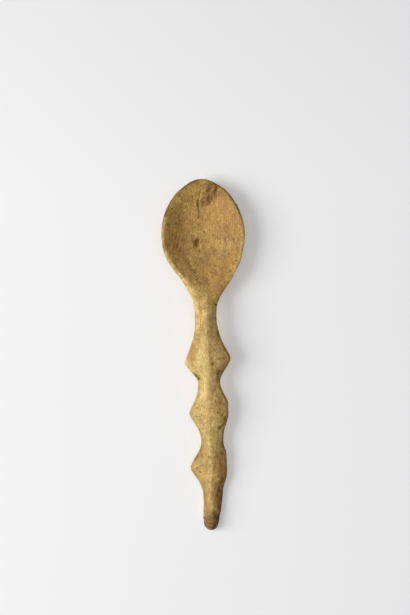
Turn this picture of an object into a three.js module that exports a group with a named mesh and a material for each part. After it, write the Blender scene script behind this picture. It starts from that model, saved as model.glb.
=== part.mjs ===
// A spoon carved from one piece of bone, lying on its back with the hollow of its bowl up.
// Millimetres, +Z up. +Y runs from the end of the handle to the tip of the bowl and +X to the right.
// The origin lies on the table, under the middle of the spoon.
import * as THREE from "three";

// Plan of the handle. Lengths run along the spoon from the end of the handle. Reaches run out to
// each side from its middle line.
const END = { length: 5.5, left: 3.6, right: 4.0 }; // the blunt end, rounded over its length
const SHANK = { length: 11.0, left: 3.1, right: 5.2 }; // the plain shank, up to the first lobe
// Three lobes, from the shank to the neck. A lobe widens over toTip, and narrows over fromTip to the
// waist after it. Its right tip begins rightLag further along than its left one, and stays out for
// rightFlat.
const LOW_LOBE = {
  toTip: 11.0, fromTip: 11.3, left: 8.4, right: 7.2, rightLag: -3.0, rightFlat: 9.3,
};
const LOW_WAIST = { left: 3.15, right: 5.95 };
const MIDDLE_LOBE = {
  toTip: 12.2, fromTip: 13.2, left: 8.2, right: 8.45, rightLag: -1.7, rightFlat: 6.4,
};
const MIDDLE_WAIST = { left: 4.1, right: 5.2 };
const HIGH_LOBE = {
  toTip: 8.3, fromTip: 16.9, left: 9.7, right: 10.0, rightLag: 1.3, rightFlat: 0.8,
};
const NECK = { left: 4.6, right: 4.35, length: 2.6 }; // straight, between the last lobe and the bowl
const TO_TIP_POINT = 0.5; // slope of the flank before a tip: 0 is round, 1 and over is pointed
const FROM_TIP_POINT = 1.3; // the same for the flank after it

// Plan of the bowl, an egg that is widest towards its tip.
const BOWL = { left: 18.0, right: 17.6, backLength: 36.0, frontLength: 22.65 };
const BACK_FULLNESS = { left: 1.5, right: 1.42 }; // over 1 swells the side between neck and widest place
const BACK_DELAY = { left: 1.2, right: 1.0 }; // over 1 keeps the side narrow for longer after the neck
const FRONT_TAPER = 1.7; // exponent along the front outline, an ellipse where all these are 2
const FRONT_FULLNESS = { left: 2.0, right: 1.85 }; // exponents across it, over 2 for a square front

// Heights of the bowl.
const BOWL_DEPTH = 6.0; // from the rim to the deepest place of the hollow
const FLOOR_THICKNESS = 2.5; // bone that is left under the deepest place
const RIM_DROP = 1.0; // the rim falls this far from its sides to its tip
const RIM_BAND = 1.9; // height of the rim's outer band
const LIP_WIDTH = 0.9; // level lip between the band and the hollow
const DEEPEST_SETBACK = 4.0; // the deepest place lies this far behind the widest place
const HOLLOW_SETBACK = 6.5; // the hollow runs out this far in front of the neck
const HOLLOW_SHAPE = { across: 0.8, front: 0.7, back: 1.15 }; // exponents: under 1 is full, over 1 shelves
const BELLY_SHAPE = 2.0; // exponent of the underside's curve from the seat to the rim band

// Heights of the handle, from the underside up: keel, edge lift, edge band and roof.
const NECK_ARCH = 4.5; // clearance of the underside above the table at the neck
const END_LIFT = 1.0; // from the keel up to the edge band, at the end of the handle
const NECK_LIFT = 2.3; // the same at the neck
const EDGE_BAND = 2.4; // height of the band along the edges
const ROOF_HEIGHT = 3.3; // from the edge band up to the crest, where a lobe is at its widest
const ROOF_SHAPE = 1.6; // exponent across the roof: 1 is two flat planes, 2 is an arch
const ROOF_RUNOUT = 17.0; // the crest dies away into the bowl over this length

// Seats: the flats worn on the underside, where the spoon lies on the table.
const SEAT_WIDTH = 5.0;
const SEAT_SHARE = 0.6; // most of the width that a seat may take where the spoon is narrow
const SEAT_FADE = 12.0; // a seat narrows to the keel line over this length
const KEEL_WIDTH = 0.6; // width of the keel line away from the seats
const BOWL_SEAT = { setback: 14.0, length: 13.0 }; // it starts this far behind the widest place
const HANDLE_SEAT_LENGTH = 9.0; // it starts where the rounded end stops

const EDGE_ROUND = 0.5; // the edge band bulges out this far
const EDGE_ROUND_SHARE = 0.3; // most of the half width that the bulge may take

// Fineness of the mesh.
const HANDLE_STEP = 1.4;
const BACK_STEPS = 20;
const FRONT_STEPS = 13;
const END_STEPS = 6;
const TOP_STEPS = 18;
const BELLY_STEPS = 5; // on each side of the seat

// What follows from the sizes above: the lobes in order, each with the waist after it, and places
// along the spoon.
const LOBES = [
  { lobe: LOW_LOBE, waist: LOW_WAIST },
  { lobe: MIDDLE_LOBE, waist: MIDDLE_WAIST },
  { lobe: HIGH_LOBE, waist: NECK },
];
const shankAt = END.length + SHANK.length;
const handleTopAt = LOBES.reduce((at, { lobe }) => at + lobe.toTip + lobe.fromTip, shankAt);
const neckAt = handleTopAt + NECK.length;
const widestAt = neckAt + BOWL.backLength;
const tipAt = widestAt + BOWL.frontLength;
const deepestAt = widestAt - DEEPEST_SETBACK;
const bowlSeatAt = widestAt - BOWL_SEAT.setback;
const bowlSeatEnd = bowlSeatAt + BOWL_SEAT.length;
const handleSeatEnd = END.length + HANDLE_SEAT_LENGTH;
const widestLobe = Math.max(...LOBES.map(({ lobe }) => (lobe.left + lobe.right) / 2));

const { clamp, lerp, smoothstep } = THREE.MathUtils;

// How far a point has come from one place to another, 0 to 1.
const share = (at, from, to) => clamp((at - from) / (to - from), 0, 1);

// Rises from 0, level, to 1 at the tip of a lobe, with the given slope there.
const flank = (t, slope) => (3 - slope) * t ** 2 + (slope - 2) * t ** 3;

// Waists and lobe tips of one edge of the handle, in order.
function edgeKnots(side) {
  const knots = [
    { at: END.length, out: END[side], tip: false },
    { at: shankAt, out: SHANK[side], tip: false },
  ];
  let waistAt = shankAt;
  for (const { lobe, waist } of LOBES) {
    const tipStart = waistAt + lobe.toTip + (side === "right" ? lobe.rightLag : 0);
    knots.push({ at: tipStart, out: lobe[side], tip: true });
    if (side === "right") knots.push({ at: tipStart + lobe.rightFlat, out: lobe[side], tip: true });
    waistAt += lobe.toTip + lobe.fromTip;
    knots.push({ at: waistAt, out: waist[side], tip: false });
  }
  knots.push({ at: neckAt, out: NECK[side], tip: false });
  return knots;
}
const knots = { left: edgeKnots("left"), right: edgeKnots("right") };

// Reach of the handle's edge between two knots.
function reachBetween(a, b, at) {
  const t = share(at, a.at, b.at);
  if (a.tip && b.tip) return lerp(a.out, b.out, t);
  if (a.tip) return b.out + (a.out - b.out) * flank(1 - t, FROM_TIP_POINT);
  return a.out + (b.out - a.out) * flank(t, b.tip ? TO_TIP_POINT : 0);
}

// Reach of one edge of the whole plan, before the rounded end closes it.
function reach(side, at) {
  if (at >= widestAt) {
    const along = share(at, widestAt, tipAt) ** FRONT_TAPER;
    return BOWL[side] * (1 - along) ** (1 / FRONT_FULLNESS[side]);
  }
  if (at >= neckAt) {
    const along = share(at, neckAt, widestAt) ** BACK_DELAY[side];
    const remaining = (1 + Math.cos(Math.PI * along)) / 2;
    return NECK[side] + (BOWL[side] - NECK[side]) * (1 - remaining ** BACK_FULLNESS[side]);
  }
  if (at <= END.length) return END[side];
  const next = knots[side].findIndex((knot) => knot.at >= at);
  return reachBetween(knots[side][next - 1], knots[side][next], at);
}

// Height of the bowl's rim above the table.
const rimHeight = (at) => FLOOR_THICKNESS + BOWL_DEPTH - RIM_DROP * share(at, widestAt, tipAt) ** 2;

// Underside along the middle: level at both seats, arched up to the neck, turned up at the tip.
function keelHeight(at) {
  if (at > bowlSeatEnd) {
    const turn = share(at, bowlSeatEnd, tipAt);
    return (rimHeight(tipAt) - RIM_BAND) * (1 - Math.sqrt(1 - turn ** 2));
  }
  if (at > neckAt) return NECK_ARCH * (1 - smoothstep(at, neckAt, bowlSeatAt));
  return NECK_ARCH * Math.sin((Math.PI / 2) * share(at, handleSeatEnd, neckAt));
}

// Width of the flat along the underside, which is wide at the two seats.
function flatWidth(at) {
  const pastHandleSeat = smoothstep(at, handleSeatEnd, handleSeatEnd + SEAT_FADE);
  const beforeBowlSeat = 1 - smoothstep(at, bowlSeatAt - SEAT_FADE, bowlSeatAt);
  const pastBowlSeat = smoothstep(at, bowlSeatEnd, bowlSeatEnd + SEAT_FADE);
  return lerp(SEAT_WIDTH, KEEL_WIDTH, Math.max(pastHandleSeat * beforeBowlSeat, pastBowlSeat));
}

// Depth of the hollow below the rim along its middle line, as a share of the full depth.
function hollowShare(at) {
  const back = share(at, deepestAt, neckAt + HOLLOW_SETBACK);
  const front = share(at, deepestAt, tipAt - LIP_WIDTH);
  return at < deepestAt ? (1 - back ** 2) ** HOLLOW_SHAPE.back : (1 - front ** 2) ** HOLLOW_SHAPE.front;
}

// Heights that the cross-section at one place is made of.
function heights(at) {
  const bowl = smoothstep(at, neckAt, neckAt + ROOF_RUNOUT);
  const keel = keelHeight(at);
  const width = (reach("left", at) + reach("right", at)) / 2;
  const handleBand = keel + lerp(END_LIFT, NECK_LIFT, share(at, END.length, neckAt));
  const bandFoot = lerp(handleBand, rimHeight(at) - RIM_BAND, bowl);
  const bandTop = bandFoot + lerp(EDGE_BAND, RIM_BAND, bowl);
  const roof = (1 - bowl) * ROOF_HEIGHT * Math.sqrt(width / widestLobe);
  return { keel, bandFoot, bandTop, roof, hollow: BOWL_DEPTH * hollowShare(at) };
}

// Rounds off the end of the handle, and the rim at the tip of the bowl: 0 where the surface closes.
const endRounding = (at) => Math.sqrt(1 - (1 - share(at, 0, END.length)) ** 2);
const tipRounding = (at) => Math.sqrt(1 - share(at, tipAt - LIP_WIDTH, tipAt) ** 2);

// One closed cross-section: over the top from left to right, then back along the underside.
function crossSection(at) {
  const { keel, bandFoot, bandTop, roof, hollow } = heights(at);
  const out = { left: reach("left", at) * endRounding(at), right: reach("right", at) * endRounding(at) };
  const middle = (bandFoot + bandTop) / 2;
  const ring = [];
  const add = (across, z) => {
    const x = across * (across < 0 ? out.left : out.right);
    ring.push(new THREE.Vector3(x, at, middle + (z - middle) * endRounding(at) * tipRounding(at)));
  };

  // Places across the section run from -1 at the left edge to 1 at the right one.
  const halfWidth = (out.left + out.right) / 2;
  const edge = 1 - Math.min(EDGE_ROUND / halfWidth, EDGE_ROUND_SHARE);
  const lip = edge - LIP_WIDTH / halfWidth;
  const seat = Math.min(flatWidth(at) / 2 / halfWidth, SEAT_SHARE);

  for (let i = 0; i <= TOP_STEPS; i++) {
    const across = edge * Math.sin(Math.PI * (i / TOP_STEPS - 0.5));
    const dish = Math.abs(across) < lip ? (1 - (across / lip) ** 2) ** HOLLOW_SHAPE.across : 0;
    add(across, bandTop + roof * (1 - Math.abs(across / edge) ** ROOF_SHAPE) - hollow * dish);
  }
  add(1, middle);
  for (let i = -BELLY_STEPS; i <= BELLY_STEPS; i++) {
    const t = Math.abs(i) / BELLY_STEPS;
    const belly = keel + (bandFoot - keel) * t ** BELLY_SHAPE;
    if (i <= 0) add(lerp(seat, edge, t), belly);
    if (i >= 0) add(-lerp(seat, edge, t), belly);
  }
  add(-1, middle);
  return ring;
}

// Places of the cross-sections, close together where the outline turns fast.
function stations() {
  const places = [];
  for (let i = 1; i < END_STEPS; i++) {
    places.push(END.length * (1 - Math.cos((Math.PI / 2) * (i / END_STEPS))));
  }
  const marks = [...knots.left, ...knots.right].map((knot) => knot.at).sort((a, b) => a - b);
  marks.forEach((mark, i) => {
    const gap = (marks[i + 1] ?? mark) - mark;
    const steps = Math.ceil(gap / HANDLE_STEP);
    for (let k = 0; k < steps; k++) {
      places.push(mark + (gap * k) / steps);
    }
  });
  for (let i = 0; i < BACK_STEPS; i++) {
    places.push(lerp(neckAt, widestAt, i / BACK_STEPS));
  }
  for (let i = 0; i < FRONT_STEPS; i++) {
    places.push(widestAt + BOWL.frontLength * Math.sin((Math.PI / 2) * (i / FRONT_STEPS)));
  }
  return places;
}

// Skins the cross-sections into one closed surface, with a single point at each end.
function skin(rings, firstPoint, lastPoint) {
  const size = rings[0].length;
  const points = [firstPoint, ...rings.flat(), lastPoint];
  const faces = [];
  const corner = (ring, i) => 1 + ring * size + (i % size);
  for (let i = 0; i < size; i++) {
    faces.push(0, corner(0, i + 1), corner(0, i));
    for (let ring = 0; ring + 1 < rings.length; ring++) {
      const [a, b] = [corner(ring, i), corner(ring, i + 1)];
      const [c, d] = [corner(ring + 1, i), corner(ring + 1, i + 1)];
      faces.push(a, b, c, b, d, c);
    }
    faces.push(points.length - 1, corner(rings.length - 1, i), corner(rings.length - 1, i + 1));
  }
  const geometry = new THREE.BufferGeometry().setFromPoints(points);
  geometry.setIndex(faces);
  geometry.computeVertexNormals();
  return geometry;
}

// Where the surface closes to a point, at either end.
function bandMiddle(at) {
  const { bandFoot, bandTop } = heights(at);
  return new THREE.Vector3(0, at, (bandFoot + bandTop) / 2);
}

const bone = new THREE.MeshStandardMaterial({ color: 0xb08f58, roughness: 0.55, metalness: 0 });
const spoon = new THREE.Mesh(
  skin(stations().map(crossSection), bandMiddle(0), bandMiddle(tipAt)),
  bone,
);
spoon.name = "bone_spoon";
spoon.position.set((BOWL.left - BOWL.right) / 2, -tipAt / 2, 0);

const part = new THREE.Group();
part.add(spoon);
export default part;
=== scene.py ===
# %% [markdown]
# # A carved bone spoon
#
# The spoon is one piece of bone: a bowl, a neck and a handle with notched lobes. The solid already has
# its size and outline. A new model would have to be fitted to it, so this lesson carves the small forms
# into a fine copy of the solid, then stains it and lights it. Nothing here moves or resizes the solid.

# %% Load the frame
import functools
import itertools
import math

import bmesh
import bpy
import numpy as np
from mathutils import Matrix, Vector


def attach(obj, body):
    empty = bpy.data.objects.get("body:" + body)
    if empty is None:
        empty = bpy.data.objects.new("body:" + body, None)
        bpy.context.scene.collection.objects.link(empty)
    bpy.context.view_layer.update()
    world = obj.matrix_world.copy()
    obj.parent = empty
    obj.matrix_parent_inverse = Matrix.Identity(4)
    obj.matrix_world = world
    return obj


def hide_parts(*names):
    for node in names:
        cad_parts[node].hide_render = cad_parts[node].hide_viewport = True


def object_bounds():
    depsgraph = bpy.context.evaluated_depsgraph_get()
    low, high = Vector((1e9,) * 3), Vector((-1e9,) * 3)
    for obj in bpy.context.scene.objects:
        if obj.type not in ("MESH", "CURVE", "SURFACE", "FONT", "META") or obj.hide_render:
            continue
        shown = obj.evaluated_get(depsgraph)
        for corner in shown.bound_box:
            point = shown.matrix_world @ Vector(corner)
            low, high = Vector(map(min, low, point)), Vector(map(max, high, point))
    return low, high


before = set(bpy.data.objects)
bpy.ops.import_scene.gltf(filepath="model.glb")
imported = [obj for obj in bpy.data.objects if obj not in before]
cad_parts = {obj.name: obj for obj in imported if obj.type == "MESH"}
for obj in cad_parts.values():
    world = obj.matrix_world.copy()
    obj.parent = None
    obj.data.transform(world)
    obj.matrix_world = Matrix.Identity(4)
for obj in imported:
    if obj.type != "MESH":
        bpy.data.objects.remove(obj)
cad_low, cad_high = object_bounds()
MM = 0.001

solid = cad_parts["bone_spoon"]
low = np.array(cad_low) / MM
high = np.array(cad_high) / MM
print("solid box in mm:", low.round(2), high.round(2))

# %% [markdown]
# ## The camera
#
# The spoon is seen from straight above, a little turned on the table. A long lens keeps the view
# almost flat. The camera could be placed by eye. It is worked out instead from the point of the table
# that lies in the middle of the picture, so it stays right when the spoon's details change.

# %% Camera
LENS_MM = 85
CAMERA_HEIGHT_MM = 626
PICTURE_MIDDLE_MM = (-0.06, 20.57)
TURN_DEGREES = 1.565

scene = bpy.context.scene


def add_object(name, data):
    """Puts a new object into the scene."""
    item = bpy.data.objects.new(name, data)
    scene.collection.objects.link(item)
    return item


camera_data = bpy.data.cameras.new("overhead_camera")
camera_data.lens = LENS_MM
camera = add_object("overhead_camera", camera_data)
camera.location = (PICTURE_MIDDLE_MM[0] * MM, PICTURE_MIDDLE_MM[1] * MM, CAMERA_HEIGHT_MM * MM)
camera.rotation_euler = (0, 0, -math.radians(TURN_DEGREES))
scene.camera = camera
print("camera is", CAMERA_HEIGHT_MM, "mm above the table")

# %% [markdown]
# ## The window
#
# Daylight from a wide window on the left makes the one soft shadow. A sun lamp could stand in for it, but
# its light is as strong everywhere. An area lamp's light weakens across the table, as a window's does.
# The plain Standard view shows colours as they are written.

# %% Window
WINDOW_ELEVATION_DEGREES = 36
WINDOW_DISTANCE_MM = 1200
WINDOW_SIZE_MM = 800
WINDOW_POWER = 11.6

scene.view_settings.view_transform = "Standard"
elevation = math.radians(WINDOW_ELEVATION_DEGREES)
window_data = bpy.data.lights.new("window", "AREA")
window_data.size = WINDOW_SIZE_MM * MM
window_data.energy = WINDOW_POWER
window = add_object("window", window_data)
window.location = (
    -math.cos(elevation) * WINDOW_DISTANCE_MM * MM,
    PICTURE_MIDDLE_MM[1] * MM,
    math.sin(elevation) * WINDOW_DISTANCE_MM * MM,
)
window.rotation_euler = (0, elevation - math.pi / 2, 0)
print("window at", [round(place, 2) for place in window.location], "m")

# %% [markdown]
# ## The ceiling
#
# A pale ceiling fills the shadow from above. It could be a large bright plane, but low views would show
# it. A broad sun lamp stands in for it, and casts no shadow of its own, as a ceiling hardly does. With the
# window it puts about one unit of light on the table, so that a colour renders about as it is written.

# %% Ceiling
CEILING_STRENGTH = 1.4
CEILING_SPREAD_DEGREES = 80

ceiling_data = bpy.data.lights.new("ceiling", "SUN")
ceiling_data.energy = CEILING_STRENGTH
ceiling_data.angle = math.radians(CEILING_SPREAD_DEGREES)
ceiling_data.use_shadow = False
add_object("ceiling", ceiling_data)
print("ceiling light comes from", CEILING_SPREAD_DEGREES, "degrees of sky")

# %% [markdown]
# ## The room
#
# The room sends a little light to the undersides, and the world's background stands in for it. One
# background would do, but as bright as it should look, it would light the spoon too much. So there are
# two: a weak one that lights, and a pale one that the camera, and anything that mirrors, sees in its
# place. Helpers that add and wire nodes come first.

# %% Helpers for nodes
def set_inputs(node, inputs):
    """Links each input to another node's output, or writes a plain value to it."""
    for name, value in inputs.items():
        if isinstance(value, bpy.types.NodeSocket):
            node.id_data.links.new(value, node.inputs[name])
        else:
            node.inputs[name].default_value = value


def add_node(tree, kind, inputs, **settings):
    """Adds a shader node with its settings and its inputs."""
    node = tree.nodes.new("ShaderNode" + kind)
    for name, value in settings.items():
        setattr(node, name, value)
    set_inputs(node, inputs)
    return node


def arithmetic(tree, operation, *values):
    """One step of arithmetic."""
    return add_node(tree, "Math", dict(enumerate(values)), operation=operation).outputs[0]


def seeing_rays(tree):
    """1 for the camera's rays and those that reach it by gloss or through glass, 0 for lighting rays."""
    path = add_node(tree, "LightPath", {}).outputs
    gloss_or_glass = arithmetic(tree, "MAXIMUM", path["Is Glossy Ray"], path["Is Transmission Ray"])
    return arithmetic(tree, "MAXIMUM", path["Is Camera Ray"], gloss_or_glass)


print("node helpers are ready")

# %% Room
WHITE = (1, 1, 1, 1)
SKY_STRENGTH = 0.12
BACKDROP = (0.8, 0.8, 0.81, 1)

world = bpy.data.worlds.new("room")
world.use_nodes = True
room_tree = world.node_tree
sky = room_tree.nodes["Background"]
set_inputs(sky, {"Color": WHITE, "Strength": SKY_STRENGTH})
backdrop = add_node(room_tree, "Background", {"Color": BACKDROP})
room_shader = add_node(room_tree, "MixShader", {
    "Fac": seeing_rays(room_tree),
    1: sky.outputs["Background"],
    2: backdrop.outputs["Background"],
})
set_inputs(room_tree.nodes["World Output"], {"Surface": room_shader.outputs["Shader"]})
scene.world = world
print("room has", len(room_tree.nodes), "nodes")

# %% [markdown]
# ## The paper
#
# The spoon lies on white paper. A picture of paper could be stretched over a plane, but it would repeat
# or blur in close views. Here it is a plain plane just under the spoon, large enough to fill any view. A
# faint cloudiness keeps it from looking like a painted wall. Beyond the bowl it greys a little, a painted
# shade for the light falling off towards the far side.

# %% Helpers for colours
# A Mix node's inputs share their names, so its two colours and its result go by their numbers.
COLOUR_A = 6
COLOUR_B = 7
COLOUR_RESULT = 2


def mix_colour(tree, colour, amount, other, blend="MIX"):
    """Mixes another colour in, or multiplies by it as a stain."""
    inputs = {"Factor": amount, COLOUR_A: colour, COLOUR_B: other}
    mix = add_node(tree, "Mix", inputs, data_type="RGBA", blend_type=blend)
    return mix.outputs[COLOUR_RESULT]


def remap(tree, value, start, stop, first=0.0, last=1.0, way="SMOOTHSTEP"):
    """Changes from one value to another between start and stop."""
    inputs = {"Value": value, "From Min": start, "From Max": stop, "To Min": first, "To Max": last}
    return add_node(tree, "MapRange", inputs, interpolation_type=way).outputs["Result"]


print("colour helpers are ready")

# %% Paper
PAPER_LIGHT = (0.87, 0.87, 0.875, 1)
PAPER_SHADE = (0.85, 0.85, 0.855, 1)
# Far paper colour: painted shade for the light that falls off beyond the bowl.
PAPER_FAR_SHADE = (0.79, 0.79, 0.8, 1)
PAPER_FAR_MM = (70, 190)
PAPER_SIZE_MM = 4000
PAPER_GAP_MM = 0.02
PAPER_CLOUDS_PER_METRE = 6
PAPER_ROUGHNESS = 0.9
PAPER_SHINE = 0.1

bpy.ops.mesh.primitive_plane_add(size=PAPER_SIZE_MM * MM, location=(0, 0, -PAPER_GAP_MM * MM))
paper = bpy.context.object
paper.name = "paper"
paper_material = bpy.data.materials.new("paper")
paper_material.use_nodes = True
paper_tree = paper_material.node_tree
paper_place = add_node(paper_tree, "TexCoord", {}).outputs["Object"]
cloud_inputs = {"Vector": paper_place, "Scale": PAPER_CLOUDS_PER_METRE}
paper_clouds = add_node(paper_tree, "TexNoise", cloud_inputs).outputs["Fac"]
paper_ahead = add_node(paper_tree, "SeparateXYZ", {"Vector": paper_place}).outputs["Y"]
far_start, far_stop = (distance * MM for distance in PAPER_FAR_MM)
far_shade_share = remap(paper_tree, paper_ahead, far_start, far_stop, way="LINEAR")
paper_colour = mix_colour(paper_tree, PAPER_SHADE, paper_clouds, PAPER_LIGHT)
paper_shader = paper_tree.nodes["Principled BSDF"]
set_inputs(paper_shader, {
    "Base Color": mix_colour(paper_tree, paper_colour, far_shade_share, PAPER_FAR_SHADE),
    "Roughness": PAPER_ROUGHNESS,
    "Specular IOR Level": PAPER_SHINE,
})
print("paper is", PAPER_SIZE_MM, "mm wide")

# %% [markdown]
# ## The far paper
#
# A studio's paper roll curves up behind the object, so that low views have no hard horizon. A curved
# sheet could be modelled, but it would stand in the way of views from behind. So the paper stays flat,
# and far out the camera sees it fade into the backdrop.

# %% Far paper
PAPER_FADE_MM = (185, 420)

from_middle = add_node(paper_tree, "VectorMath", {0: paper_place}, operation="LENGTH")
fade_start, fade_stop = (distance * MM for distance in PAPER_FADE_MM)
paper_fade = remap(paper_tree, from_middle.outputs["Value"], fade_start, fade_stop)
paper_roll = add_node(paper_tree, "Emission", {"Color": BACKDROP})
paper_surface = add_node(paper_tree, "MixShader", {
    "Fac": arithmetic(paper_tree, "MULTIPLY", paper_fade, seeing_rays(paper_tree)),
    1: paper_shader.outputs["BSDF"],
    2: paper_roll.outputs["Emission"],
})
set_inputs(paper_tree.nodes["Material Output"], {"Surface": paper_surface.outputs["Shader"]})
paper.data.materials.append(paper_material)
print("paper fades from", PAPER_FADE_MM[0], "to", PAPER_FADE_MM[1], "mm from its middle")

# %% [markdown]
# ## A fine blank
#
# Carving starts from a smooth blank. The solid has flat facets about a millimetre across, too coarse for
# the fine cuts, and subdividing alone would leave long thin faces. So a subdivision surface rounds the
# facets, and a voxel remesh then gives small even faces everywhere, which carving needs.

# %% Fine blank
FACE_MM = 0.3
ROUNDING_LEVELS = 2
SAME_PLACE_MM = 0.001
FLAT_PAIR_DEGREES = 40

rough = bmesh.new()
rough.from_mesh(solid.data)
bmesh.ops.remove_doubles(rough, verts=rough.verts, dist=SAME_PLACE_MM * MM)
bmesh.ops.join_triangles(
    rough,
    faces=rough.faces,
    angle_face_threshold=math.radians(FLAT_PAIR_DEGREES),
    angle_shape_threshold=math.pi,
)
blank_mesh = bpy.data.meshes.new("blank")
rough.to_mesh(blank_mesh)
rough.free()
blank = add_object("blank", blank_mesh)
rounding = blank.modifiers.new("rounding", "SUBSURF")
rounding.levels = ROUNDING_LEVELS
remesh = blank.modifiers.new("even faces", "REMESH")
remesh.mode = "VOXEL"
remesh.voxel_size = FACE_MM * MM
evaluated = blank.evaluated_get(bpy.context.evaluated_depsgraph_get())
spoon_mesh = bpy.data.meshes.new_from_object(evaluated)
spoon_mesh.name = "carved_spoon"
bpy.data.objects.remove(blank)
count = len(spoon_mesh.vertices)
print("fine blank:", count, "points,", len(spoon_mesh.polygons), "faces")

# %% [markdown]
# ## The blank as rows of numbers
#
# A carver cuts by hand, and so do Blender's sculpting brushes, but a hand's strokes can't be run again. So
# the carving is arithmetic: the points are read into rows of millimetres, moved, and written back. First a
# few smoothing passes, in and out by turns, take off the remesh's ripple without shrinking the blank.

# %% Points of the blank
SMOOTH_PASSES = 4
SMOOTH_IN = 0.5
SMOOTH_OUT = -0.52


def read_rows(items, name, width, kind=float):
    """One property of a mesh's points or edges, as rows of numbers."""
    flat = np.empty(len(items) * width, dtype=kind)
    items.foreach_get(name, flat)
    return flat.reshape(-1, width)


points = read_rows(spoon_mesh.vertices, "co", 3) / MM
edges = read_rows(spoon_mesh.edges, "vertices", 2, np.int64)
degree = np.bincount(edges.ravel(), minlength=count)[:, None]


def neighbour_mean(values):
    """The mean of each point's neighbours, for a list of rows."""
    total = np.empty_like(values)
    for column in range(values.shape[1]):
        picked = values[:, column]
        total[:, column] = np.bincount(edges[:, 0], picked[edges[:, 1]], count)
        total[:, column] += np.bincount(edges[:, 1], picked[edges[:, 0]], count)
    return total / degree


def relax(strength):
    """Moves the points towards the means of their neighbours, or away from them."""
    points[:] += strength * (neighbour_mean(points) - points)


def surface_normals():
    """Normals of the surface as it is carved so far."""
    spoon_mesh.vertices.foreach_set("co", (points * MM).ravel())
    spoon_mesh.update()
    return read_rows(spoon_mesh.vertices, "normal", 3)


for _ in range(SMOOTH_PASSES):
    relax(SMOOTH_IN)
    relax(SMOOTH_OUT)
normals = surface_normals()
print("smooth blank in mm:", points.min(axis=0).round(2), points.max(axis=0).round(2))

# %% [markdown]
# ## Measuring the blank
#
# Carving follows the outline, so the blank is measured first: at each place along the spoon, how far
# out its left and right edges lie, and how fast they run outwards. The outline could be written down
# again, but measured from the blank it always fits. Stations run from the end of the handle to the tip
# of the bowl, in millimetres.

# %% Outline of the blank
LEFT = -1
RIGHT = 1
STATION_STEP = 0.5
EVEN_OUT = (0.25, 0.5, 0.25)


def smooth_row(row):
    """Evens out a row of measurements."""
    return np.convolve(np.pad(row, 1, mode="edge"), EVEN_OUT, mode="valid")


# A view of the points, so it follows every cut. Stations are renewed after the edges and the end move.
across = points[:, 0]
station = points[:, 1] - low[1]
last_bin = int((high[1] - low[1]) / STATION_STEP)
bins = np.clip((station / STATION_STEP).astype(int), 0, last_bin)
bin_middles = (np.arange(last_bin + 1) + 0.5) * STATION_STEP

edge_reach = np.empty(count)
edge_slope = np.empty(count)
for sign in (LEFT, RIGHT):
    reach_row = np.zeros(last_bin + 1)
    np.maximum.at(reach_row, bins, sign * across)
    reach_row = smooth_row(reach_row)
    slope_row = smooth_row(np.gradient(reach_row, STATION_STEP))
    on_side = sign * across >= 0
    edge_reach[on_side] = np.interp(station[on_side], bin_middles, reach_row)
    edge_slope[on_side] = np.interp(station[on_side], bin_middles, slope_row)
edge_distance = np.clip(edge_reach - np.abs(across), 0, None) / np.sqrt(1 + edge_slope**2)
print("the edges reach out by up to", edge_reach.max().round(2), "mm")

# %% [markdown]
# ## Letting the edges out
#
# Rounding the facets pulled the blank's edges in a little. A finer solid would round less, but would be
# slow to build. Here the edges are let out again along their normals, most at the outline itself. How far
# each point faces up is measured too, because marks only go on the upper side.

# %% Edges let out
EDGE_GAIN = 0.3
EDGE_GAIN_WIDTH = 1.5
FACING_UP = (-0.2, 0.3)


def ramp(value, start, stop):
    """0 before start, 1 after stop, and a smooth rise between them."""
    share = np.clip((value - start) / (stop - start), 0, 1)
    return share * share * (3 - 2 * share)


def at_edge(width):
    """1 at the outline, and an even fall to 0 over a width inside it."""
    return np.clip(1 - edge_distance / width, 0, 1)


points[:, :2] += EDGE_GAIN * at_edge(EDGE_GAIN_WIDTH)[:, None] * normals[:, :2]
normals = surface_normals()
station = points[:, 1] - low[1]
upward = ramp(normals[:, 2], *FACING_UP)
print("blank box in mm:", points.min(axis=0).round(2), points.max(axis=0).round(2))

# %% [markdown]
# ## The carver's uneven hand
#
# The blank's outline is a smooth curve, and a hand with a knife is not so even: here and there it took a
# little more off, or left a little more on. Noise could do it, but would put the touches anywhere. So each
# one names a side, a station, its length along the spoon and how far the edge moves out. The move fades
# inwards and is nothing on the middle line, so no step shows. The end of the handle is cut blunt.

# %% Touches along the edge
TOUCH_REACH = 6.0
TOUCH_REACH_SHARE = 0.8
TOUCH_REACH_LEAST = 0.1
TOUCH_MIDDLE = 1.5
BLUNT_END = 0.6
BLUNT_SHARE = 0.3
TOUCHES = [
    (LEFT, 148.5, 4, -0.35),
    (RIGHT, 148.5, 4, -0.45),
    (RIGHT, 120, 7, -0.4),
    (LEFT, 109.5, 6, -0.35),
    (LEFT, 100, 4, -0.3),
    (RIGHT, 99, 6, -0.4),
    (RIGHT, 86, 6, 0.3),
    (LEFT, 58, 6, -0.38),
    (LEFT, 45, 6, -0.4),
    (RIGHT, 45, 6, -0.35),
    (LEFT, 31, 6, 0.35),
    (LEFT, 22.5, 4, -0.35),
    (LEFT, 10.5, 6, -0.35),
    (RIGHT, 4, 5, -0.75),
]

touch_reach = np.minimum(TOUCH_REACH, TOUCH_REACH_SHARE * edge_reach + TOUCH_REACH_LEAST)
touch_fade = at_edge(touch_reach) * np.clip(np.abs(across) / TOUCH_MIDDLE, 0, 1)
for sign, middle, length, outward in TOUCHES:
    near = np.clip(1 - ((station - middle) / length) ** 2, 0, 1) ** 2
    points[:, 0] += sign * outward * near * touch_fade * (sign * across > 0)
blunted = BLUNT_END + BLUNT_SHARE * (station - BLUNT_END)
points[:, 1] = low[1] + np.where(station < BLUNT_END, blunted, station)
station = points[:, 1] - low[1]
print(len(TOUCHES), "touches; the end is now at station", station.min().round(2), "mm")

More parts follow.
